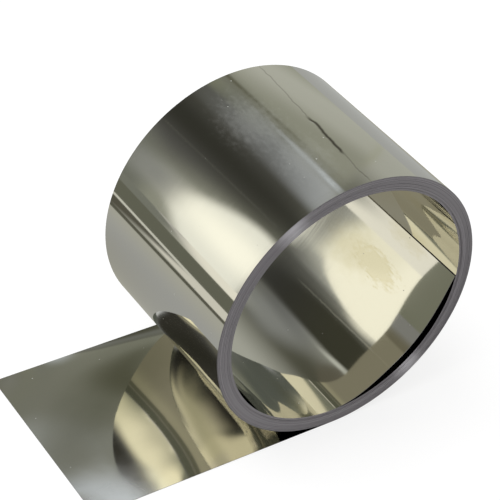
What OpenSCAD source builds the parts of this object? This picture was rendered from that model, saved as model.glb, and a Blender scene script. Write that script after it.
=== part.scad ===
// Loose coil of thin bright stainless steel strip.
// The coil lies on its turns with its bore along Y, and the origin is the middle of the bore.
// It is one strip: its inner end lies free in the bore, and its outer end runs out flat towards -X.

/* [Strip] */
// Width of the strip
strip_w = 100; // [20:1:300]
// Thickness of the strip
strip_t = 0.2; // [0.1:0.05:0.5]

/* [Coil] */
// Diameter of the bore
bore_d = 125.4; // [80:0.2:300]
// Number of wound turns
turns = 39; // [10:1:60]
// Furthest that the edge of a turn wanders along the bore
wander = 0.25; // [0.05:0.05:0.8]

/* [Slipped turns] */
// Number of innermost turns that have slipped towards +Y
slipped_turns = 7; // [0:1:9]
// Distance that they have slipped
slip = 0.4; // [0:0.1:2]

/* [Outer end] */
// Length that lies flat, from the line where the coil meets the floor
outer_end_len = 129; // [30:1:400]

/* [Inner end] */
// Angle round the bore at which the inner end stops, from +X towards +Z
inner_end_a = -4; // [-20:1:20]
// Angle over which the innermost lap has sprung off the wall
sprung_a = 88; // [50:1:120]
// Deepest clearance between the sprung lap and the wall
sprung_gap = 4.6; // [1:0.1:8]
// Clearance between the wall and the tip of the sprung lap
tip_gap = 0.15; // [0.05:0.05:1]

/* [Hidden] */
bore_r = bore_d / 2;
coil_r = bore_r + turns * strip_t;
// The wander is a slow swing and a quick one, each in degrees for every turn
slow_swing = 23;
quick_swing = 101;
quick_share = 0.45;
// Places along the bore are kept to this step
step_y = 0.01;
// Share of the sprung stretch, from its root, at which it stands furthest off the wall
peak = 0.45;
// How steeply the sprung lap comes back to the wall at its tip
tip_power = 4;
lap_steps = 44;
$fn = 180;

// How far turn i stands towards +Y
function turn_shift(i) = (i < slipped_turns ? slip : 0) + step_y * round(wander / step_y
    * ((1 - quick_share) * sin(slow_swing * i) + quick_share * sin(quick_swing * i)));

// Distance from the wall to the inner face of the sprung lap, at a share s of the way to its tip
function lap_stand(s) = s < peak
    ? (sprung_gap + strip_t) * pow(sin(90 * s / peak), 2)
    : sprung_gap + strip_t - (sprung_gap - tip_gap) * pow((s - peak) / (1 - peak), tip_power);

function polar(r, a) = [r * cos(a), r * sin(a)];

// The point of the sprung lap at a share s of the way to its tip, at a height h above its inner face
function lap_point(s, h) = polar(bore_r - lap_stand(s) + h, inner_end_a - sprung_a * (1 - s));

// Half section of the wound wall, where each turn is a little out of line with the next at both ends
module wall_section() {
    low_end = [for (i = [0 : turns - 1], k = [0, 1])
        [bore_r + (i + k) * strip_t, turn_shift(i) - strip_w / 2]];
    high_end = [for (i = [turns - 1 : -1 : 0], k = [1, 0])
        [bore_r + (i + k) * strip_t, turn_shift(i) + strip_w / 2]];
    polygon(concat(low_end, high_end));
}

module wound_turns() {
    rotate([-90, 0, 0])
        rotate_extrude()
            wall_section();
}

// The outermost turn leaves the coil where it meets the floor, and lies flat
module outer_end() {
    translate([-outer_end_len, turn_shift(turns - 1) - strip_w / 2, -coil_r])
        cube([outer_end_len, strip_w, strip_t]);
}

// The last stretch of the innermost turn, from its root in the wall to its free tip
module sprung_lap() {
    root = lap_point(0, strip_t / 2);
    inner_face = [for (i = [1 : lap_steps]) lap_point(i / lap_steps, 0)];
    back = [for (i = [lap_steps : -1 : 1]) lap_point(i / lap_steps, strip_t)];
    translate([0, turn_shift(0), 0])
        rotate([90, 0, 0])
            linear_extrude(strip_w, center = true)
                polygon(concat([root], inner_face, back));
}

module steel_strip() {
    color("silver") {
        wound_turns();
        outer_end();
        sprung_lap();
    }
}

steel_strip();
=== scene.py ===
import bpy
from math import pi, radians
from mathutils import Matrix


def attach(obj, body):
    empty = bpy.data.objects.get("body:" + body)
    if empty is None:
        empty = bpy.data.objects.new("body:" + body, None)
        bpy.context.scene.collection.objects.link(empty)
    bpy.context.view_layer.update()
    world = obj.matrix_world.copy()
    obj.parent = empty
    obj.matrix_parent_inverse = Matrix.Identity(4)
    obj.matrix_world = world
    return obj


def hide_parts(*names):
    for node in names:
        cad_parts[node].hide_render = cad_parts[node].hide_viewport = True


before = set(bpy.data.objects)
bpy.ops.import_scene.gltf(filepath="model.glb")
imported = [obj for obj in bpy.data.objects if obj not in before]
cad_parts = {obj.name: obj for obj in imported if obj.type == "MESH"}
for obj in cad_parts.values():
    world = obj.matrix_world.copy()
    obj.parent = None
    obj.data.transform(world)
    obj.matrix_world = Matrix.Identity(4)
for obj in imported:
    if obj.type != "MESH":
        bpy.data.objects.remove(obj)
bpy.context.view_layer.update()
mm_in_metre = 1000


# The view
# A long lens looks down over the cut end of the strip and into the bore of the coil.
# It is turned a little, so the coil leans to the left in the picture.
view_place = (-0.41236, -0.53372, 0.51968)
view_turn = radians(-36.18)
view_dip = radians(37.81)
view_roll = radians(5.683)

view = bpy.data.cameras.new("view")
view.sensor_width = 36
view.lens = 130.07
view_stand = bpy.data.objects.new("view", view)
view_stand.matrix_world = (
    Matrix.Translation(view_place)
    @ Matrix.Rotation(view_turn, 4, "Z")
    @ Matrix.Rotation(pi / 2 - view_dip, 4, "X")
    @ Matrix.Rotation(view_roll, 4, "Z")
)
bpy.context.collection.objects.link(view_stand)
bpy.context.scene.camera = view_stand
bpy.context.scene.view_settings.view_transform = "Standard"


# The room
# The coil stands on a pale floor in a plain room. What the steel mirrors is the room's walls and windows.
# Each is a soft-edged panel, placed in degrees by its turn round Y, from straight up towards +X,
# and by its angle off +Y.
def feed(tree, socket, source):
    """Gives an input a value, or links another node's output to it."""
    if isinstance(source, bpy.types.NodeSocket):
        tree.links.new(source, socket)
    elif source is not None:
        socket.default_value = source


def add_node(tree, kind, *sources, **settings):
    """A node with its settings, its inputs fed in order by numbers or by other nodes' outputs."""
    node = tree.nodes.new(kind)
    for name, value in settings.items():
        setattr(node, name, value)
    for socket, source in zip(node.inputs, sources):
        feed(tree, socket, source)
    return node


def calc(tree, operation, *values):
    return add_node(tree, "ShaderNodeMath", *values, operation=operation).outputs[0]


def add_inputs(tree, sockets):
    """Named inputs on a tree or group, with their types and default values."""
    for name, (kind, value) in sockets.items():
        socket = tree.interface.new_socket(name, in_out="INPUT", socket_type="NodeSocket" + kind)
        if value is not None:
            socket.default_value = value
    return tree.nodes.new("NodeGroupInput").outputs


def add_outputs(tree, **sockets):
    """Named outputs on a tree or group, given as name=(type, source)."""
    for name, (kind, source) in sockets.items():
        tree.interface.new_socket(name, in_out="OUTPUT", socket_type="NodeSocket" + kind)
    ends = tree.nodes.new("NodeGroupOutput")
    for socket, (kind, source) in zip(ends.inputs, sockets.values()):
        tree.links.new(source, socket)


def mixed(tree, share, first, second, kind="RGBA"):
    """The first colour or value where the share is 0, and the second where it is 1."""
    mix = add_node(tree, "ShaderNodeMix", data_type=kind)
    first_socket, result = (6, 2) if kind == "RGBA" else (2, 0)
    feed(tree, mix.inputs[0], share)
    feed(tree, mix.inputs[first_socket], first)
    feed(tree, mix.inputs[first_socket + 1], second)
    return mix.outputs[result]


def faded(tree, value, start, end, low=0.0, high=1.0):
    """Low where the value is at its start, high where it is at its end, and a soft change between."""
    return add_node(tree, "ShaderNodeMapRange", value, start, end, low, high,
                    interpolation_type="SMOOTHSTEP").outputs[0]


def soft_panel_group():
    """One panel of the room or the floor: where it shows, its tint is laid over what is behind it."""
    tree = bpy.data.node_groups.new("Soft panel", "ShaderNodeTree")
    given = add_inputs(tree, {
        "Behind": ("Color", None), "Across": ("Float", 0), "Up": ("Float", 0), "Tint": ("Color", None),
        "Middle Across": ("Float", 0), "Middle Up": ("Float", 50), "Half Across": ("Float", 10),
        "Half Up": ("Float", 3), "Lean": ("Float", 0), "Softness": ("Float", 0.3), "Squareness": ("Float", 3),
    })
    out = calc(tree, "SUBTRACT", given["Up"], given["Middle Up"])
    side = calc(tree, "SUBTRACT", calc(tree, "SUBTRACT", given["Across"], given["Middle Across"]),
                calc(tree, "MULTIPLY", out, given["Lean"]))
    reach = [calc(tree, "POWER", calc(tree, "ABSOLUTE", calc(tree, "DIVIDE", away, half)),
                  given["Squareness"])
             for away, half in ((side, given["Half Across"]), (out, given["Half Up"]))]
    from_middle = calc(tree, "POWER", calc(tree, "ADD", *reach),
                       calc(tree, "DIVIDE", 1.0, given["Squareness"]))
    mask = faded(tree, from_middle, calc(tree, "ADD", 1.0, given["Softness"]),
                 calc(tree, "SUBTRACT", 1.0, given["Softness"]))
    add_outputs(tree, Room=("Color", mixed(tree, mask, given["Behind"], given["Tint"])))
    return tree


# Each panel's tint, middle round, middle off axis, half round, half off axis, lean, softness and squareness.
# The far walls are seen less than walls_meet off the axis, and the near walls more.
walls_meet = 51.1
corner_blur = 0.2
far_wall = (0.40, 0.41, 0.33, 1)
far_panels = {
    "right wall": ((0.63, 0.64, 0.56), 47.7, 44.57, 17.3, 7.88, 6.01, 0.92, 8.1),
    "ceiling": ((0.10, 0.10, 0.08), -10.1, 43.39, 34.8, 8.92, -0.15, 0.41, 4.3),
    "blue window": ((1.37, 1.46, 1.57), -1.7, 63.70, 9.3, 10.56, -0.58, 0.89, 7.3),
    "lower ceiling": ((0.13, 0.13, 0.12), -31.6, 46.51, 24.6, 3.07, 6.60, 0.82, 1.8),
    "dark doorway": ((0.05, 0.05, 0.04), -22.4, 46.08, 14.4, 10.53, -0.01, 0.91, 1.6),
    "left wall": ((0.24, 0.25, 0.21), -99.7, 45.13, 51.3, 1.49, -3.85, 0.28, 2.6),
    "beam": ((0.40, 0.42, 0.28), 13.2, 43.17, 5.5, 2.46, 1.08, 0.80, 3.3),
    "cream window": ((1.29, 1.29, 1.13), -73.0, 50.44, 30.2, 3.02, 0.32, 0.14, 1.6),
    "cream window middle": ((1.60, 1.58, 1.35), -67.7, 50.20, 11.5, 2.68, 0.58, 0.79, 1.7),
    "dark corner": ((0.03, 0.03, 0.02), 21.4, 56.41, 4.8, 7.31, 0.15, 0.07, 1.5),
    "dark shelf": ((0.16, 0.16, 0.11), 26.2, 42.23, 2.6, 6.34, 0.41, 0.59, 1.5),
    "white cupboard": ((0.69, 0.74, 0.76), 19.5, 52.27, 2.9, 3.41, -0.72, 0.39, 2.0),
    "window sill": ((0.37, 0.38, 0.35), -70.5, 46.38, 9.6, 1.04, 2.63, 0.84, 3.5),
}
near_wall = (0.55, 0.56, 0.49, 1)
near_panels = {
    "right wall": ((0.48, 0.49, 0.36), 71.9, 50.93, 23.1, 0.31, -1.78, 0.47, 2.3),
    "high right wall": ((0.10, 0.10, 0.07), 21.4, 58.56, 29.1, 11.38, 0.81, 0.77, 2.6),
    "ceiling": ((0.32, 0.33, 0.31), -2.9, 52.51, 29.6, 1.34, -4.99, 0.61, 1.5),
    "grey beam": ((0.15, 0.14, 0.10), 3.1, 55.14, 17.3, 0.58, 1.63, 0.05, 1.7),
    "dark doorway": ((0.06, 0.06, 0.04), -23.8, 58.79, 10.6, 9.01, 0.60, 0.26, 3.2),
    "lower left wall": ((0.04, 0.04, 0.04), -73.0, 45.35, 22.9, 6.94, 6.76, 0.40, 3.1),
    "cream window": ((1.45, 1.41, 1.14), -67.9, 54.65, 31.8, 2.51, 0.09, 0.03, 2.4),
    "cream window side": ((1.29, 1.25, 0.98), -84.4, 53.10, 16.0, 1.15, -12.24, 0.37, 4.5),
    "pale lamp": ((0.74, 0.76, 0.66), -15.2, 54.90, 2.0, 0.55, -3.0, 0.90, 2.0),
    "low right wall": ((0.70, 0.71, 0.62), 9.5, 48.42, 10.1, 2.21, 0.56, 0.83, 2.3),
    "grey head of the window": ((0.29, 0.29, 0.25), -90.0, 50.95, 22.0, 0.80, 0.00, 0.60, 3.0),
}
# The same room as it looks where the steel mirrors its own mirror image
again_wall = (0.41, 0.43, 0.33, 1)
again_panels = {
    "low grey wall": ((0.23, 0.25, 0.23), 96.9, 53.27, 47.4, 0.67, 14.84, 0.45, 2.7),
    "grey ledge": ((0.19, 0.21, 0.18), -7.4, 53.29, 41.3, 1.56, 6.25, 0.25, 8.0),
    "cream curtain": ((1.94, 1.85, 1.33), -31.8, 48.25, 51.8, 1.82, -4.16, 0.41, 8.1),
    "pale corner": ((1.17, 1.21, 1.25), -15.0, 49.98, 15.4, 4.00, -0.97, 0.09, 2.9),
    "dark ceiling": ((0.18, 0.19, 0.23), -11.3, 48.30, 26.1, 2.23, -10.86, 0.30, 1.5),
    "low cream window": ((1.63, 1.56, 1.15), -21.1, 56.43, 31.4, 6.33, 13.00, 0.14, 4.1),
    "cream window side": ((1.80, 1.72, 1.29), -141.1, 51.45, 27.2, 2.67, -13.76, 0.09, 3.7),
    "grey wall": ((0.65, 0.66, 0.56), 66.3, 52.98, 13.2, 1.56, 0.17, 0.77, 3.2),
    "slanting beam": ((0.28, 0.29, 0.28), 9.2, 50.13, 44.1, 2.44, 9.95, 0.25, 5.3),
    "high cream window": ((2.11, 2.00, 1.40), -24.0, 38.04, 34.0, 9.08, -5.50, 0.13, 2.2),
    "dark recess": ((0.075, 0.073, 0.06), -12.8, 48.10, 32.5, 3.50, 0.31, 0.45, 3.5),
    "low glow": ((1.90, 1.80, 1.35), -66.0, 39.60, 11.0, 2.60, 0.00, 0.50, 3.0),
}
daylight = 0.72

room = bpy.data.worlds.new("room")
room.use_nodes = True
bpy.context.scene.world = room
tree = room.node_tree
tree.nodes.clear()
direction = add_node(tree, "ShaderNodeTexCoord").outputs["Generated"]
x, y, z = add_node(tree, "ShaderNodeSeparateXYZ", direction).outputs
turn_round = calc(tree, "DEGREES", calc(tree, "ARCTAN2", x, z))
off_axis = calc(tree, "DEGREES", calc(tree, "ARCCOSINE", y))
panel_group = soft_panel_group()


def lay_panels(tree, across, up, seen, panels):
    """Panels laid one over the other, on a colour or on another node's output."""
    for name, (tint, *places) in panels.items():
        panel = add_node(tree, "ShaderNodeGroup", seen, across, up, (*tint, 1), *places,
                         node_tree=panel_group, label=name)
        seen = panel.outputs[0]
    return seen


def mirrored_again(tree, ray):
    """1 where the steel mirrors its own mirror image, and 0 elsewhere."""
    return calc(tree, "GREATER_THAN", ray["Glossy Depth"], 1.5)


nearer = faded(tree, off_axis, walls_meet - corner_blur, walls_meet + corner_blur)
far_seen = lay_panels(tree, turn_round, off_axis, far_wall, far_panels)
near_seen = lay_panels(tree, turn_round, off_axis, near_wall, near_panels)
again_seen = lay_panels(tree, turn_round, off_axis, again_wall, again_panels)
ray = add_node(tree, "ShaderNodeLightPath").outputs
once_seen = mixed(tree, nearer, far_seen, near_seen)
mirrored = add_node(tree, "ShaderNodeBackground",
                    mixed(tree, mirrored_again(tree, ray), once_seen, again_seen), 1.0)
plain = add_node(tree, "ShaderNodeBackground", (1, 1, 1, 1),
                 mixed(tree, ray["Is Camera Ray"], daylight, 1.0, "FLOAT"))
either = add_node(tree, "ShaderNodeMixShader", ray["Is Glossy Ray"], plain.outputs[0], mirrored.outputs[0])
add_node(tree, "ShaderNodeOutputWorld", either.outputs[0])

# The floor
# It is paper near the coil and boards further off, lit white round the coil in the picture.
# The panels are what the steel mirrors of it, placed in millimetres along X and Y.
paper = (0.50, 0.51, 0.49, 1)
floor_panels = {
    "boards far off": ((0.265, 0.275, 0.23), -40350, 489, 40000, 40000, 0.0, 0.001, 100.0),
    "edge of the pale floor": ((0.68, 0.67, 0.60), -51745, 20000, 30000, 20000, -1.08, 0.0013, 100.0),
    "pale floor far off": ((1.20, 1.17, 1.00), -52880, 20000, 30000, 20000, -1.14, 0.003, 100.0),
    "paper beside the gap": ((0.58, 0.58, 0.50), -230, 300, 60, 3000, 0.0, 0.90, 20.0),
    "dark boards": ((0.185, 0.19, 0.143), -620, 485, 320, 1578, 0.0, 0.20, 12.0),
    "bright line": ((0.85, 0.85, 0.74), -330, 800, 16, 800, 0.0, 0.35, 20.0),
    "bright edge": ((0.92, 0.90, 0.78), -303, 0, 47, 213, 0.0, 0.09, 12.0),
    "gap before it": ((0.135, 0.13, 0.098), -262, 420, 49, 200, 0.0, 0.12, 12.0),
    "dark line": ((0.14, 0.14, 0.105), -239, 152, 13, 725, 0.18, 0.35, 20.0),
    "shade of the coil": ((0.34, 0.32, 0.225), 86, 123, 156, 146, -0.03, 0.65, 1.6),
}
# The floor as it looks where the steel mirrors its own mirror image
floor_again_panels = {
    "paper near the coil": ((0.50, 0.475, 0.345), -60, 300, 150, 700, 0.0, 0.05, 20.0),
    "paper further off": ((0.67, 0.64, 0.445), -140, 300, 34, 700, 0.0, 0.90, 20.0),
    "dark boards": ((0.215, 0.225, 0.163), -2585, 0, 2407, 1300, 0.0, 0.005, 100.0),
    "dark line": ((0.26, 0.26, 0.178), -205, 0, 18, 900, 0.0, 0.80, 20.0),
    "bright line": ((0.36, 0.35, 0.265), -262, 0, 22, 700, 0.0, 0.80, 20.0),
}
floor_grey = 0.32
floor_glow = 0.73
floor_level = -0.0707
floor_size = 40

bpy.ops.mesh.primitive_plane_add(size=floor_size, location=(0, 0, floor_level))
floor = bpy.context.object
floor.name = "floor"
floor_finish = bpy.data.materials.new("pale floor")
floor_finish.use_nodes = True
tree = floor_finish.node_tree
tree.nodes.clear()
place = add_node(tree, "ShaderNodeVectorMath", add_node(tree, "ShaderNodeNewGeometry").outputs["Position"],
                 (mm_in_metre, mm_in_metre, mm_in_metre), operation="MULTIPLY").outputs[0]
x, y, z = add_node(tree, "ShaderNodeSeparateXYZ", place).outputs
ray = add_node(tree, "ShaderNodeLightPath").outputs
lit = add_node(tree, "ShaderNodeBsdfDiffuse", (floor_grey, floor_grey, floor_grey, 1))
glow = add_node(tree, "ShaderNodeEmission", (1, 1, 1, 1),
                calc(tree, "MULTIPLY", ray["Is Camera Ray"], floor_glow))
plain = add_node(tree, "ShaderNodeAddShader", lit.outputs[0], glow.outputs[0])
once_seen = lay_panels(tree, x, y, paper, floor_panels)
again_seen = lay_panels(tree, x, y, once_seen, floor_again_panels)
mirrored = add_node(tree, "ShaderNodeEmission",
                    mixed(tree, mirrored_again(tree, ray), once_seen, again_seen), 1.0)
either = add_node(tree, "ShaderNodeMixShader", ray["Is Glossy Ray"], plain.outputs[0], mirrored.outputs[0])
add_node(tree, "ShaderNodeOutputMaterial", either.outputs[0])
floor.data.materials.append(floor_finish)

lamp = bpy.data.lights.new("overhead lamp", "AREA")
lamp.shape = "DISK"
lamp.size = 1.6
lamp.energy = 16
lamp_stand = bpy.data.objects.new("overhead lamp", lamp)
lamp_stand.location = (-0.6, 0.3, 1.6)
lamp_stand.rotation_euler = (radians(-10), radians(-20), 0)
lamp_stand.visible_glossy = False
bpy.context.collection.objects.link(lamp_stand)


# The strip
# One length of thin stainless steel, cold rolled bright and slit to width, wound into a loose coil.
# It runs from the free tip in the bore, along the sprung lap and round the wound turns,
# and leaves the coil flat along the floor.
strip_width = 0.100
strip_thickness = 0.0002
bore_radius = 0.0627
wound_turns = 38
outer_end_length = 0.129

turn_steps = 180
outer_end_steps = 52
cells_across = 20
merge_distance = 0.000002
sharp_fold = radians(30)

tip_angle = radians(-4)
sprung_angle = radians(88)
sprung_gap = 0.0046
tip_gap = 0.00015
sprung_peak = 0.45
tip_power = 4

slip = 0.0004
slipped_turns = 7
slip_ends_over = 0.1
wander = 0.00022
slow_swing = radians(23)
quick_swing = radians(101)
quick_share = 0.45

sprung_steps = round(sprung_angle / (2 * pi) * turn_steps)
last_wound_step = sprung_steps + wound_turns * turn_steps - 1
coil_radius = bore_radius + (wound_turns + 1) * strip_thickness
coil_length = (2 * pi * bore_radius * last_wound_step / turn_steps
               + pi * strip_thickness * (wound_turns - 1 / turn_steps) ** 2)
outer_turn = 2 * pi * (bore_radius + wound_turns * strip_thickness)
inner_turns = 2 * pi * bore_radius * (1 + sprung_steps / turn_steps)


def lie_on_coil_group():
    """Turns a place on the strip, given as a step along it, a share across it and a share of its thickness,
    into a point in space and a distance along the strip."""
    tree = bpy.data.node_groups.new("Lie on the coil", "GeometryNodeTree")
    given = add_inputs(tree, {
        "Place": ("Vector", None), "Width": ("Float", strip_width), "Thickness": ("Float", strip_thickness),
        "Bore Radius": ("Float", bore_radius), "Turn Steps": ("Float", turn_steps),
        "Sprung Steps": ("Float", sprung_steps), "Last Wound Step": ("Float", last_wound_step),
        "Outer End Step": ("Float", outer_end_length / outer_end_steps),
        "Tip Angle": ("Float", tip_angle), "Sprung Gap": ("Float", sprung_gap), "Tip Gap": ("Float", tip_gap),
        "Slip": ("Float", slip), "Slipped Turns": ("Float", slipped_turns), "Wander": ("Float", wander),
    })
    step, across, rise = add_node(tree, "ShaderNodeSeparateXYZ", given["Place"]).outputs
    on_coil = calc(tree, "MINIMUM", step, given["Last Wound Step"])
    past_coil = calc(tree, "MULTIPLY", calc(tree, "SUBTRACT", step, on_coil), given["Outer End Step"])
    wound = calc(tree, "DIVIDE",
                 calc(tree, "MAXIMUM", calc(tree, "SUBTRACT", on_coil, given["Sprung Steps"]), 0.0),
                 given["Turn Steps"])

    # Every turn uses the same angles exactly, so that neighbouring turns meet
    part_turn = calc(tree, "DIVIDE", calc(tree, "FLOORED_MODULO", on_coil, given["Turn Steps"]),
                     given["Turn Steps"])
    angle = calc(tree, "SUBTRACT", given["Tip Angle"], calc(tree, "MULTIPLY", part_turn, 2 * pi))

    # The sprung lap leaves the wall at its root, stands furthest off at its peak and comes back at its tip
    from_tip = calc(tree, "DIVIDE", on_coil, given["Sprung Steps"])
    to_tip = calc(tree, "MAXIMUM", calc(tree, "SUBTRACT", 1.0, from_tip), 0.0)
    deepest = calc(tree, "ADD", given["Sprung Gap"], given["Thickness"])
    rise_angle = calc(tree, "MULTIPLY", calc(tree, "MINIMUM", to_tip, sprung_peak), pi / 2 / sprung_peak)
    near_root = calc(tree, "MULTIPLY", deepest, calc(tree, "POWER", calc(tree, "SINE", rise_angle), 2.0))
    past_peak = calc(tree, "MAXIMUM", calc(tree, "SUBTRACT", to_tip, sprung_peak), 0.0)
    past_peak = calc(tree, "DIVIDE", past_peak, 1 - sprung_peak)
    back_to_wall = calc(tree, "MULTIPLY", calc(tree, "SUBTRACT", given["Sprung Gap"], given["Tip Gap"]),
                        calc(tree, "POWER", past_peak, float(tip_power)))
    off_wall = calc(tree, "SUBTRACT", near_root, back_to_wall)

    off_bore = calc(tree, "MULTIPLY", given["Thickness"], calc(tree, "ADD", wound, rise))
    radius = calc(tree, "SUBTRACT", calc(tree, "ADD", given["Bore Radius"], off_bore), off_wall)

    # The first and the last turn keep one line, and between them the edge wanders
    last_wound = calc(tree, "SUBTRACT", given["Last Wound Step"], given["Sprung Steps"])
    last_free = calc(tree, "SUBTRACT", calc(tree, "DIVIDE", last_wound, given["Turn Steps"]), 2.0)
    free = calc(tree, "MAXIMUM", calc(tree, "MINIMUM", calc(tree, "SUBTRACT", wound, 1.0), last_free), 0.0)
    slow = calc(tree, "MULTIPLY", calc(tree, "SINE", calc(tree, "MULTIPLY", free, slow_swing)),
                1 - quick_share)
    quick = calc(tree, "MULTIPLY", calc(tree, "SINE", calc(tree, "MULTIPLY", free, quick_swing)), quick_share)
    swing = calc(tree, "MULTIPLY", calc(tree, "ADD", slow, quick), given["Wander"])
    still_slipped = faded(tree, free, calc(tree, "SUBTRACT", given["Slipped Turns"], 1 + slip_ends_over),
                          calc(tree, "SUBTRACT", given["Slipped Turns"], 1 - slip_ends_over),
                          given["Slip"], 0.0)
    shift = calc(tree, "ADD", swing, still_slipped)

    point = add_node(
        tree, "ShaderNodeCombineXYZ",
        calc(tree, "SUBTRACT", calc(tree, "MULTIPLY", radius, calc(tree, "COSINE", angle)), past_coil),
        calc(tree, "ADD", calc(tree, "MULTIPLY", across, calc(tree, "MULTIPLY", given["Width"], 0.5)), shift),
        calc(tree, "MULTIPLY", radius, calc(tree, "SINE", angle)),
    ).outputs[0]

    step_length = calc(tree, "MULTIPLY", given["Bore Radius"],
                       calc(tree, "DIVIDE", 2 * pi, given["Turn Steps"]))
    grown = calc(tree, "MULTIPLY", calc(tree, "POWER", wound, 2.0),
                 calc(tree, "MULTIPLY", given["Thickness"], pi))
    along = calc(tree, "ADD", calc(tree, "ADD", calc(tree, "MULTIPLY", on_coil, step_length), grown),
                 past_coil)
    add_outputs(tree, Point=("Vector", point), Along=("Float", along))
    return tree


def strip_face_group():
    """One face of the strip as a grid, with the place on the strip of each of its corners."""
    tree = bpy.data.node_groups.new("Strip face", "GeometryNodeTree")
    given = add_inputs(tree, {
        "Start": ("Vector", None), "Row": ("Vector", None), "Column": ("Vector", None),
        "Rows": ("Int", 1), "Columns": ("Int", 1), "Slit": ("Bool", False),
    })
    one_more = calc(tree, "ADD", given["Columns"], 1.0)
    grid = add_node(tree, "GeometryNodeMeshGrid", 1.0, 1.0, calc(tree, "ADD", given["Rows"], 1.0),
                    one_more).outputs[0]
    index = add_node(tree, "GeometryNodeInputIndex").outputs[0]
    row = calc(tree, "FLOOR", calc(tree, "DIVIDE", calc(tree, "ADD", index, 0.5), one_more))
    column = calc(tree, "SUBTRACT", index, calc(tree, "MULTIPLY", row, one_more))

    def shifted(place, move, count):
        scaled = add_node(tree, "ShaderNodeVectorMath", move, operation="SCALE")
        tree.links.new(count, scaled.inputs["Scale"])
        return add_node(tree, "ShaderNodeVectorMath", place, scaled.outputs[0], operation="ADD").outputs[0]

    place = shifted(shifted(given["Start"], given["Row"], row), given["Column"], column)
    kept = add_node(tree, "GeometryNodeStoreNamedAttribute", grid, None, "place", place,
                    data_type="FLOAT_VECTOR", domain="POINT").outputs[0]
    marked = add_node(tree, "GeometryNodeStoreNamedAttribute", kept, None, "slit", given["Slit"],
                      data_type="BOOLEAN", domain="FACE").outputs[0]
    add_outputs(tree, Face=("Geometry", marked))
    return tree


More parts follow.
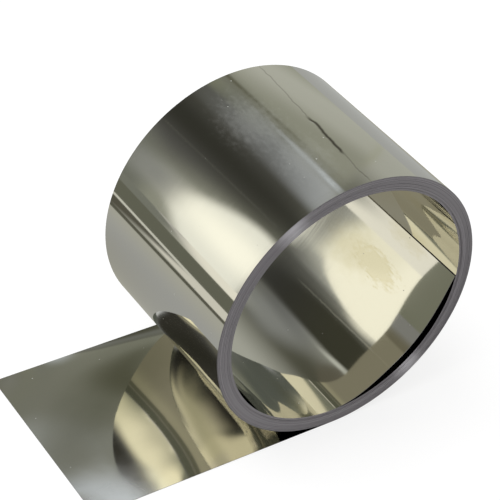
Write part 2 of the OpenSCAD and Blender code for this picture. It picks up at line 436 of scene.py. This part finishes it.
def wound_strip_tree(bright_face, slit_edge):
    """The whole strip as one closed mesh. Its faces are grids, which are joined and then wound."""
    tree = bpy.data.node_groups.new("Wound strip", "GeometryNodeTree")
    tree.is_modifier = True
    given = add_inputs(tree, {
        "Geometry": ("Geometry", None), "Width": ("Float", strip_width),
        "Thickness": ("Float", strip_thickness), "Bore Radius": ("Float", bore_radius),
        "Turn Steps": ("Int", turn_steps), "Sprung Steps": ("Int", sprung_steps),
        "Last Wound Step": ("Int", last_wound_step), "Outer End Length": ("Float", outer_end_length),
        "Outer End Steps": ("Int", outer_end_steps), "Cells Across": ("Int", cells_across),
        "Bright Face": ("Material", None), "Slit Edge": ("Material", None),
    })
    turn, sprung, last = given["Turn Steps"], given["Sprung Steps"], given["Last Wound Step"]
    end = calc(tree, "ADD", last, given["Outer End Steps"])
    cells = given["Cells Across"]
    cell = calc(tree, "DIVIDE", 2.0, cells)
    face_group = strip_face_group()

    def place(step, across, rise):
        return add_node(tree, "ShaderNodeCombineXYZ", step, across, rise).outputs[0]

    def strip_face(label, start, row, column, rows, columns, slit=False):
        face = add_node(tree, "GeometryNodeGroup", place(*start), place(*row), place(*column),
                        rows, columns, slit, node_tree=face_group, label=label)
        return face.outputs[0]

    last_turn = calc(tree, "SUBTRACT", last, turn)
    from_root = calc(tree, "SUBTRACT", last_turn, sprung)
    next_turn = calc(tree, "ADD", sprung, turn)
    turn_back = calc(tree, "MULTIPLY", turn, -1.0)
    outer_steps = given["Outer End Steps"]
    on, up, down = (1.0, 0.0, 0.0), (0.0, 0.0, 1.0), (0.0, 0.0, -1.0)
    over, back_over = (0.0, cell, 0.0), (0.0, calc(tree, "MULTIPLY", cell, -1.0), 0.0)
    faces = [
        strip_face("near edge", (0.0, -1.0, 0.0), on, up, end, 1, True),
        strip_face("far edge", (0.0, 1.0, 1.0), on, down, end, 1, True),
        strip_face("near steps between turns",
                   (sprung, -1.0, 1.0), on, (turn, 0.0, -1.0), from_root, 1, True),
        strip_face("far steps between turns",
                   (next_turn, 1.0, 0.0), on, (turn_back, 0.0, 1.0), from_root, 1, True),
        strip_face("inside of the bore", (0.0, 1.0, 0.0), on, back_over, next_turn, cells),
        strip_face("back of the sprung lap", (0.0, -1.0, 1.0), on, over, sprung, cells),
        strip_face("outside of the coil", (last_turn, -1.0, 1.0), on, over,
                   calc(tree, "ADD", turn, outer_steps), cells),
        strip_face("top of the outer end", (last, 1.0, 0.0), on, back_over, outer_steps, cells),
        strip_face("tip", (0.0, -1.0, 0.0), up, over, 1, cells, True),
        strip_face("cut end", (end, -1.0, 0.0), over, up, cells, 1, True),
    ]
    joined = tree.nodes.new("GeometryNodeJoinGeometry")
    for face in reversed(faces):
        tree.links.new(face, joined.inputs[0])

    kept_place = add_node(tree, "GeometryNodeInputNamedAttribute", "place",
                          data_type="FLOAT_VECTOR").outputs[0]
    lie = add_node(tree, "GeometryNodeGroup", kept_place, given["Width"], given["Thickness"],
                   given["Bore Radius"], turn, sprung, last,
                   calc(tree, "DIVIDE", given["Outer End Length"], given["Outer End Steps"]),
                   node_tree=lie_on_coil_group())
    laid = add_node(tree, "GeometryNodeSetPosition", joined.outputs[0], None, lie.outputs["Point"]).outputs[0]

    _, across, rise = add_node(tree, "ShaderNodeSeparateXYZ", kept_place).outputs
    across = calc(tree, "MULTIPLY", across, calc(tree, "MULTIPLY", given["Width"], 0.5))
    on_strip = place(lie.outputs["Along"], across, rise)
    noted = add_node(tree, "GeometryNodeStoreNamedAttribute", laid, None, "strip", on_strip,
                     data_type="FLOAT_VECTOR", domain="POINT").outputs[0]
    strip_place = add_node(tree, "GeometryNodeInputNamedAttribute", "strip",
                           data_type="FLOAT_VECTOR").outputs[0]
    kept = add_node(tree, "GeometryNodeStoreNamedAttribute", noted, None, "on_strip", strip_place,
                    data_type="FLOAT_VECTOR", domain="CORNER").outputs[0]
    closed = add_node(tree, "GeometryNodeMergeByDistance", kept, None, merge_distance).outputs[0]
    smooth = add_node(tree, "GeometryNodeSetShadeSmooth", closed, None, True, domain="FACE").outputs[0]
    fold = add_node(tree, "GeometryNodeInputMeshEdgeAngle").outputs[0]
    bare = add_node(tree, "GeometryNodeSetShadeSmooth", smooth, calc(tree, "GREATER_THAN", fold, sharp_fold),
                    False, domain="EDGE").outputs[0]
    for spent in ("place", "strip"):
        bare = add_node(tree, "GeometryNodeRemoveAttribute", bare, spent).outputs[0]
    real = add_node(tree, "GeometryNodeRealizeInstances", bare).outputs[0]
    slit = add_node(tree, "GeometryNodeInputNamedAttribute", "slit", data_type="BOOLEAN").outputs[0]
    faced = add_node(tree, "GeometryNodeSetMaterial", real, None, given["Bright Face"]).outputs[0]
    edged = add_node(tree, "GeometryNodeSetMaterial", faced, slit, given["Slit Edge"]).outputs[0]
    add_outputs(tree, Geometry=("Geometry", edged))
    return tree


def patch_group():
    """A patch with a ragged edge, where the place given is nearer than one to its middle."""
    tree = bpy.data.node_groups.new("Ragged patch", "ShaderNodeTree")
    given = add_inputs(tree, {
        "Place": ("Vector", None), "Raggedness": ("Float", 0.6),
        "Grain": ("Float", 2.0), "Softness": ("Float", 0.3),
    })
    away = add_node(tree, "ShaderNodeVectorMath", given["Place"], operation="LENGTH").outputs["Value"]
    grain = add_node(tree, "ShaderNodeTexNoise", given["Place"])
    tree.links.new(given["Grain"], grain.inputs["Scale"])
    grain.inputs["Detail"].default_value = 5
    ragged = calc(tree, "MULTIPLY", calc(tree, "SUBTRACT", grain.outputs[0], 0.5), given["Raggedness"])
    mask = faded(tree, calc(tree, "ADD", away, ragged), calc(tree, "ADD", 1.0, given["Softness"]),
                 calc(tree, "SUBTRACT", 1.0, given["Softness"]))
    add_outputs(tree, Mask=("Float", mask))
    return tree


def line_mark_group():
    """A thin line across the strip, which wobbles, between two ends given in metres across.
    Round is the angle round the coil, and at Start Round the line crosses the middle of the strip."""
    fading_length = 0.006
    tree = bpy.data.node_groups.new("Line mark", "ShaderNodeTree")
    given = add_inputs(tree, {
        "Round": ("Float", 0), "Across": ("Float", 0), "Start Round": ("Float", 0), "Lean": ("Float", 0),
        "Width": ("Float", 0.0004), "Wobble": ("Float", 0.0005),
        "From": ("Float", -0.05), "To": ("Float", 0.05),
    })
    wave = add_node(tree, "ShaderNodeTexNoise", noise_dimensions="1D")
    tree.links.new(given["Across"], wave.inputs["W"])
    wave.inputs["Scale"].default_value = 90
    line = calc(tree, "ADD", given["Start Round"], calc(tree, "MULTIPLY", given["Lean"], given["Across"]))
    off = calc(tree, "MULTIPLY", calc(tree, "SUBTRACT", given["Round"], line), coil_radius)
    off = calc(tree, "ADD", off,
               calc(tree, "MULTIPLY", calc(tree, "SUBTRACT", wave.outputs[0], 0.5), given["Wobble"]))
    near = faded(tree, calc(tree, "ABSOLUTE", off), 0.0, given["Width"], 1.0, 0.0)
    begun = faded(tree, given["Across"], given["From"], calc(tree, "ADD", given["From"], fading_length))
    ended = faded(tree, given["Across"], calc(tree, "SUBTRACT", given["To"], fading_length), given["To"],
                  1.0, 0.0)
    mask = calc(tree, "MULTIPLY", near, calc(tree, "MULTIPLY", begun, ended))
    add_outputs(tree, Mask=("Float", mask))
    return tree


def dust_group():
    """Specks of dust, no two alike, scattered over a face at a place along and across it in metres."""
    smallest_speck = 0.4
    solid_core = 0.4
    tree = bpy.data.node_groups.new("Dust", "ShaderNodeTree")
    given = add_inputs(tree, {
        "Place": ("Vector", None), "Spread": ("Float", 85),
        "Speck": ("Float", 0.00032), "Amount": ("Float", 0.3),
    })
    cells = add_node(tree, "ShaderNodeTexVoronoi", given["Place"], voronoi_dimensions="2D")
    tree.links.new(given["Spread"], cells.inputs["Scale"])
    chance, bulk, _ = add_node(tree, "ShaderNodeSeparateXYZ", cells.outputs["Color"]).outputs
    reach = calc(tree, "MULTIPLY", calc(tree, "MULTIPLY", given["Speck"], given["Spread"]),
                 calc(tree, "ADD", smallest_speck, bulk))
    speck = add_node(tree, "ShaderNodeMapRange", cells.outputs["Distance"], reach,
                     calc(tree, "MULTIPLY", reach, solid_core), 0.0, 1.0).outputs[0]
    mask = calc(tree, "MULTIPLY", speck, calc(tree, "LESS_THAN", chance, given["Amount"]))
    add_outputs(tree, Mask=("Float", mask))
    return tree


def rolled_grain_group():
    """The fine lines that the rolls leave along the strip, and its slow unevenness,
    at a place along and across it."""
    tree = bpy.data.node_groups.new("Rolled grain", "ShaderNodeTree")
    given = add_inputs(tree, {
        "Along": ("Float", 0), "Across": ("Float", 0), "Lines": ("Float", 2500), "Swell": ("Float", 0.00002),
    })

    def noise(along_scale, across_scale, detail):
        stretched = add_node(tree, "ShaderNodeCombineXYZ",
                             calc(tree, "MULTIPLY", given["Along"], along_scale),
                             calc(tree, "MULTIPLY", given["Across"], across_scale), 0.0).outputs[0]
        texture = add_node(tree, "ShaderNodeTexNoise", stretched)
        texture.inputs["Scale"].default_value = 1
        texture.inputs["Detail"].default_value = detail
        return texture.outputs[0]

    lines = noise(along_scale=12.0, across_scale=given["Lines"], detail=3)
    swell = noise(along_scale=55.0, across_scale=9.0, detail=1)
    height = calc(tree, "MULTIPLY", calc(tree, "SUBTRACT", swell, 0.5), given["Swell"])
    add_outputs(tree, Lines=("Float", lines), Height=("Float", height))
    return tree


def outer_end_bow_group():
    """How far the outer end is bowed from flat, in metres, as its mirror image of the coil shows.
    Away runs from 0 where it leaves the coil to 1 at its cut end, and Across from -1 to 1."""
    tree = bpy.data.node_groups.new("Bow of the outer end", "ShaderNodeTree")
    given = add_inputs(tree, {"Away": ("Float", 0), "Across": ("Float", 0)})
    highest_power = max(max(pair) for pair in outer_end_bow)
    powers = []
    for value in (given["Away"], given["Across"]):
        steps = [1.0, value]
        for _ in range(highest_power - 1):
            steps.append(calc(tree, "MULTIPLY", steps[-1], value))
        powers.append(steps)
    height = 0.0
    for (away, across), share in outer_end_bow.items():
        term = calc(tree, "MULTIPLY", calc(tree, "MULTIPLY", powers[0][away], powers[1][across]),
                    share / mm_in_metre)
        height = calc(tree, "ADD", height, term)
    add_outputs(tree, Height=("Float", height))
    return tree


# The rolled faces
# They are bright enough to mirror the room, and they carry the marks of handling, with some painted
# reflection and shade among them.
# The bow is given in millimetres, by the powers of the distance away from the coil and across the strip.
outer_end_bow = {
    (1, 1): -10.70, (1, 2): 3.26, (1, 3): -2.48, (1, 4): 8.47,
    (2, 0): 0.96, (2, 1): 25.45, (2, 2): -35.22, (2, 3): 5.24, (2, 4): -10.14,
    (3, 0): -12.05, (3, 1): -27.44, (3, 2): 63.56, (3, 3): -2.86,
    (4, 0): 7.39, (4, 1): 11.43, (4, 2): -30.45,
}

patches, line_marks, dust, grain = patch_group(), line_mark_group(), dust_group(), rolled_grain_group()

bright_face = bpy.data.materials.new("bright rolled face")
bright_face.use_nodes = True
tree = bright_face.node_tree
shader = tree.nodes["Principled BSDF"]
shader.inputs["Metallic"].default_value = 1
on_strip = add_node(tree, "ShaderNodeAttribute", attribute_name="on_strip").outputs["Vector"]
along, across, rise = add_node(tree, "ShaderNodeSeparateXYZ", on_strip).outputs
x, y, z = add_node(tree, "ShaderNodeSeparateXYZ",
                   add_node(tree, "ShaderNodeTexCoord").outputs["Object"]).outputs
turned = calc(tree, "ARCTAN2", x, z)
outside = calc(tree, "GREATER_THAN", along, coil_length - outer_turn)


def face_patch(middle, reach, raggedness, grain_size, softness, turn=(0, 0, 0)):
    """A ragged patch on the material that is being made, round a point in space."""
    spot = add_node(tree, "ShaderNodeTexCoord").outputs["Object"]
    centred = add_node(tree, "ShaderNodeMapping", spot, middle, turn, reach, vector_type="TEXTURE").outputs[0]
    return add_node(tree, "ShaderNodeGroup", centred, raggedness, grain_size, softness,
                    node_tree=patches).outputs[0]


# Finger smudges on top of the coil, and yellow water stains in the bore
smudge = calc(tree, "MAXIMUM", face_patch((-0.0180, 0.014, 0.068), (0.009, 0.015, 0.010), 2.6, 4.5, 0.9),
              face_patch((-0.0125, -0.023, 0.069), (0.008, 0.013, 0.010), 2.6, 4.5, 0.9))
inside = calc(tree, "LESS_THAN", along, inner_turns)
stain_middle = (0.0518, -0.003, -0.0264)
stain_share = 0.34
other_stains_share = 0.26
stain = face_patch(stain_middle, (0.0062, 0.017, 0.0062), 1.8, 3.2, 0.35)
within_rim = face_patch(stain_middle, (0.0055, 0.015, 0.0055), 1.8, 3.2, 0.45)
other_stains = calc(tree, "MAXIMUM",
                    face_patch((0.0512, 0.014, -0.0275), (0.009, 0.016, 0.009), 1.6, 2.6, 0.8),
                    face_patch((0.0616, -0.014, -0.0058), (0.006, 0.013, 0.0045), 2.0, 2.6, 0.6))
yellowed = calc(tree, "MULTIPLY", inside,
                calc(tree, "MAXIMUM", calc(tree, "MULTIPLY", stain, stain_share),
                     calc(tree, "MULTIPLY", other_stains, other_stains_share)))
stain_rim = calc(tree, "MULTIPLY", inside, calc(tree, "SUBTRACT", stain, within_rim))

# A pale bluish painted reflection at the cut end, laid on as a hazy film, a faint painted dark reflection
# where the strip leaves the coil, and specks of dust all over
painted_reflection_film = face_patch((-0.1160, -0.0540, -0.0703), (0.0175, 0.0205, 0.050), 0.4, 2.2, 0.95)
painted_dark_reflection = face_patch((-0.074, 0.022, -0.0703), (0.038, 0.016, 0.006), 0.5, 1.4, 0.9, (0, 0, radians(29)))
specks = add_node(tree, "ShaderNodeGroup", on_strip, 85.0, 0.00030, 0.16, node_tree=dust).outputs[0]
rolled = add_node(tree, "ShaderNodeGroup", along, across, node_tree=grain).outputs


def line_mark(label, share, start_round, lean, width, wobble, start, end):
    """A line mark, dimmed to its share. It leans by degrees round the coil for each metre across."""
    mark = add_node(tree, "ShaderNodeGroup", turned, y, radians(start_round), radians(lean),
                    width, wobble, start, end, node_tree=line_marks, label=label)
    return calc(tree, "MULTIPLY", mark.outputs["Mask"], share)


# A faint scratch across the top of the coil and one in the bore, and a sharp little crease with fading ends,
# dented by a bump and painted nearly black as its shade
scratch = calc(tree, "MULTIPLY",
               line_mark("scratch on top", 0.14, -36.5, -13.0, 0.0011, 0.0004, -0.052, 0.052), outside)
bore_scratch = calc(tree, "MULTIPLY",
                    line_mark("scratch in the bore", 0.15, 148.6, 17.0, 0.0010, 0.0006, -0.052, 0.030),
                    inside)
scratched = calc(tree, "MAXIMUM", scratch, bore_scratch)
crease_and_painted_shade = calc(tree, "MAXIMUM", line_mark("crease", 1.0, 4.6, 62.0, 0.0014, 0.0034, -0.030, 0.006),
               line_mark("fading ends of the crease", 0.35, 4.6, 62.0, 0.0007, 0.0030, -0.052, 0.052))
crease_and_painted_shade = calc(tree, "MULTIPLY", crease_and_painted_shade, outside)

steel_colour = (0.60, 0.59, 0.56, 1)
for mask, share, tint in (
    (yellowed, 1.0, (0.44, 0.39, 0.22, 1)),
    (stain_rim, 0.20, (0.35, 0.29, 0.14, 1)),
    # painted dark reflection where the strip leaves the coil
    (painted_dark_reflection, 0.85, (0.37, 0.37, 0.32, 1)),
    # painted pale reflection at the cut end
    (painted_reflection_film, 0.90, (0.86, 0.90, 0.94, 1)),
    (smudge, 0.20, (0.86, 0.88, 0.88, 1)),
    # painted shade along the crease
    (crease_and_painted_shade, 0.95, (0.06, 0.05, 0.04, 1)),
    (scratched, 1.0, (0.95, 0.95, 0.90, 1)),
    (specks, 1.0, (0.60, 0.61, 0.58, 1)),
):
    steel_colour = mixed(tree, calc(tree, "MULTIPLY", mask, share), steel_colour, tint)
tree.links.new(steel_colour, shader.inputs["Base Color"])

# Grease, the hazy film of the painted reflection and specks of dust hide some of the bare metal
grease_cover = 0.065
reflection_film_cover = 0.43
speck_cover = 0.8
haze = calc(tree, "MAXIMUM", calc(tree, "MULTIPLY", smudge, grease_cover),
            calc(tree, "MULTIPLY", painted_reflection_film, reflection_film_cover))
metal = calc(tree, "SUBTRACT", calc(tree, "SUBTRACT", 1.0, haze), calc(tree, "MULTIPLY", specks, speck_cover))
tree.links.new(metal, shader.inputs["Metallic"])
smoothest = 0.025
roughest = 0.06
roughness = add_node(tree, "ShaderNodeMapRange", rolled["Lines"], 0.25, 0.75, smoothest, roughest).outputs[0]
for mask, value in ((smudge, 0.12), (painted_reflection_film, 0.20), (scratched, 0.5), (specks, 0.9)):
    roughness = mixed(tree, mask, roughness, value, "FLOAT")
tree.links.new(roughness, shader.inputs["Roughness"])

crease_depth = 0.00006
away = calc(tree, "MAXIMUM",
            calc(tree, "DIVIDE", calc(tree, "SUBTRACT", along, coil_length), outer_end_length), 0.0)
bow = add_node(tree, "ShaderNodeGroup", away, calc(tree, "DIVIDE", across, strip_width / 2),
               node_tree=outer_end_bow_group()).outputs[0]
height = calc(tree, "ADD", bow, rolled["Height"])
height = calc(tree, "SUBTRACT", height, calc(tree, "MULTIPLY", crease_and_painted_shade, crease_depth))
bump = add_node(tree, "ShaderNodeBump", 1.0, 1.0)
tree.links.new(height, bump.inputs["Height"])
tree.links.new(bump.outputs[0], shader.inputs["Normal"])

# The slit edges
# They are cut, not rolled, so they are grey and matt,
# and each turn is a little lighter or darker than the next.
slit_edge = bpy.data.materials.new("slit edge")
slit_edge.use_nodes = True
tree = slit_edge.node_tree
shader = tree.nodes["Principled BSDF"]
shader.inputs["Metallic"].default_value = 0.3
on_strip = add_node(tree, "ShaderNodeAttribute", attribute_name="on_strip").outputs["Vector"]
along, across, rise = add_node(tree, "ShaderNodeSeparateXYZ", on_strip).outputs
tone = add_node(tree, "ShaderNodeTexNoise", noise_dimensions="1D")
tone.inputs["Scale"].default_value = 1.1
tone.inputs["Detail"].default_value = 5
tone.inputs["Roughness"].default_value = 0.7
tree.links.new(along, tone.inputs["W"])
dark_tone = 0.3
light_tone = 0.7
# The grooves between the turns are painted dark as shade, and the first and the last turn are darkened by the
# same amount
groove_starts = 0.42
painted_shade_depth = 0.35
from_middle = calc(tree, "ABSOLUTE", calc(tree, "SUBTRACT", rise, 0.5))
between = calc(tree, "GREATER_THAN", from_middle, groove_starts)
outermost = calc(tree, "GREATER_THAN", along, coil_length - outer_turn)
end_turns = calc(tree, "MAXIMUM", calc(tree, "LESS_THAN", along, inner_turns), outermost)
painted_shade = calc(tree, "MULTIPLY", calc(tree, "MAXIMUM", between, end_turns), painted_shade_depth)
bright_turns = add_node(tree, "ShaderNodeMapRange", tone.outputs[0], dark_tone, light_tone,
                        0.0, 1.0).outputs[0]
edge_colour = mixed(tree, bright_turns, (0.18, 0.17, 0.18, 1), (0.50, 0.47, 0.50, 1))
# painted shade in the grooves and on the end turns
edge_colour = mixed(tree, painted_shade, edge_colour, (0.08, 0.08, 0.08, 1))

# Two stretches of the near end carry painted glints: their colour is lightened, more on the lighter turns
painted_glints = [
    face_patch((0.0420, -0.050, -0.0510), (0.011, 0.010, 0.006), 0.5, 2.0, 0.9, (0, radians(39), 0)),
    face_patch((-0.0370, -0.050, 0.0570), (0.006, 0.010, 0.006), 0.5, 2.0, 0.9, (0, radians(33), 0)),
]
faintest_glint = 0.3
glint_with_tone = 0.6
glint_strength = calc(tree, "ADD", calc(tree, "MULTIPLY", bright_turns, glint_with_tone), faintest_glint)
glint_strength = calc(tree, "MULTIPLY", calc(tree, "MAXIMUM", *painted_glints), glint_strength)
# the painted glints lighten the colour
edge_colour = mixed(tree, glint_strength, edge_colour, (0.88, 0.86, 0.90, 1))
tree.links.new(edge_colour, shader.inputs["Base Color"])
roughness = add_node(tree, "ShaderNodeMapRange", tone.outputs[0], dark_tone, light_tone,
                     0.6, 0.4).outputs[0]
tree.links.new(roughness, shader.inputs["Roughness"])


strip = bpy.data.objects.new("strip", bpy.data.meshes.new("strip"))
bpy.context.collection.objects.link(strip)
winding = strip.modifiers.new("winding", "NODES")
winding.node_group = wound_strip_tree(bright_face, slit_edge)
sizes = {
    "Width": strip_width, "Thickness": strip_thickness, "Bore Radius": bore_radius, "Turn Steps": turn_steps,
    "Sprung Steps": sprung_steps, "Last Wound Step": last_wound_step, "Outer End Length": outer_end_length,
    "Outer End Steps": outer_end_steps, "Bright Face": bright_face, "Slit Edge": slit_edge,
}
for socket in winding.node_group.interface.items_tree:
    if socket.name in sizes:
        winding[socket.identifier] = sizes[socket.name]
wound = bpy.data.meshes.new_from_object(strip.evaluated_get(bpy.context.evaluated_depsgraph_get()))
strip.modifiers.remove(winding)
strip.data = wound
wound.name = "strip"
wound.materials.pop(index=0)

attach(strip, "root")
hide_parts("steel_strip")
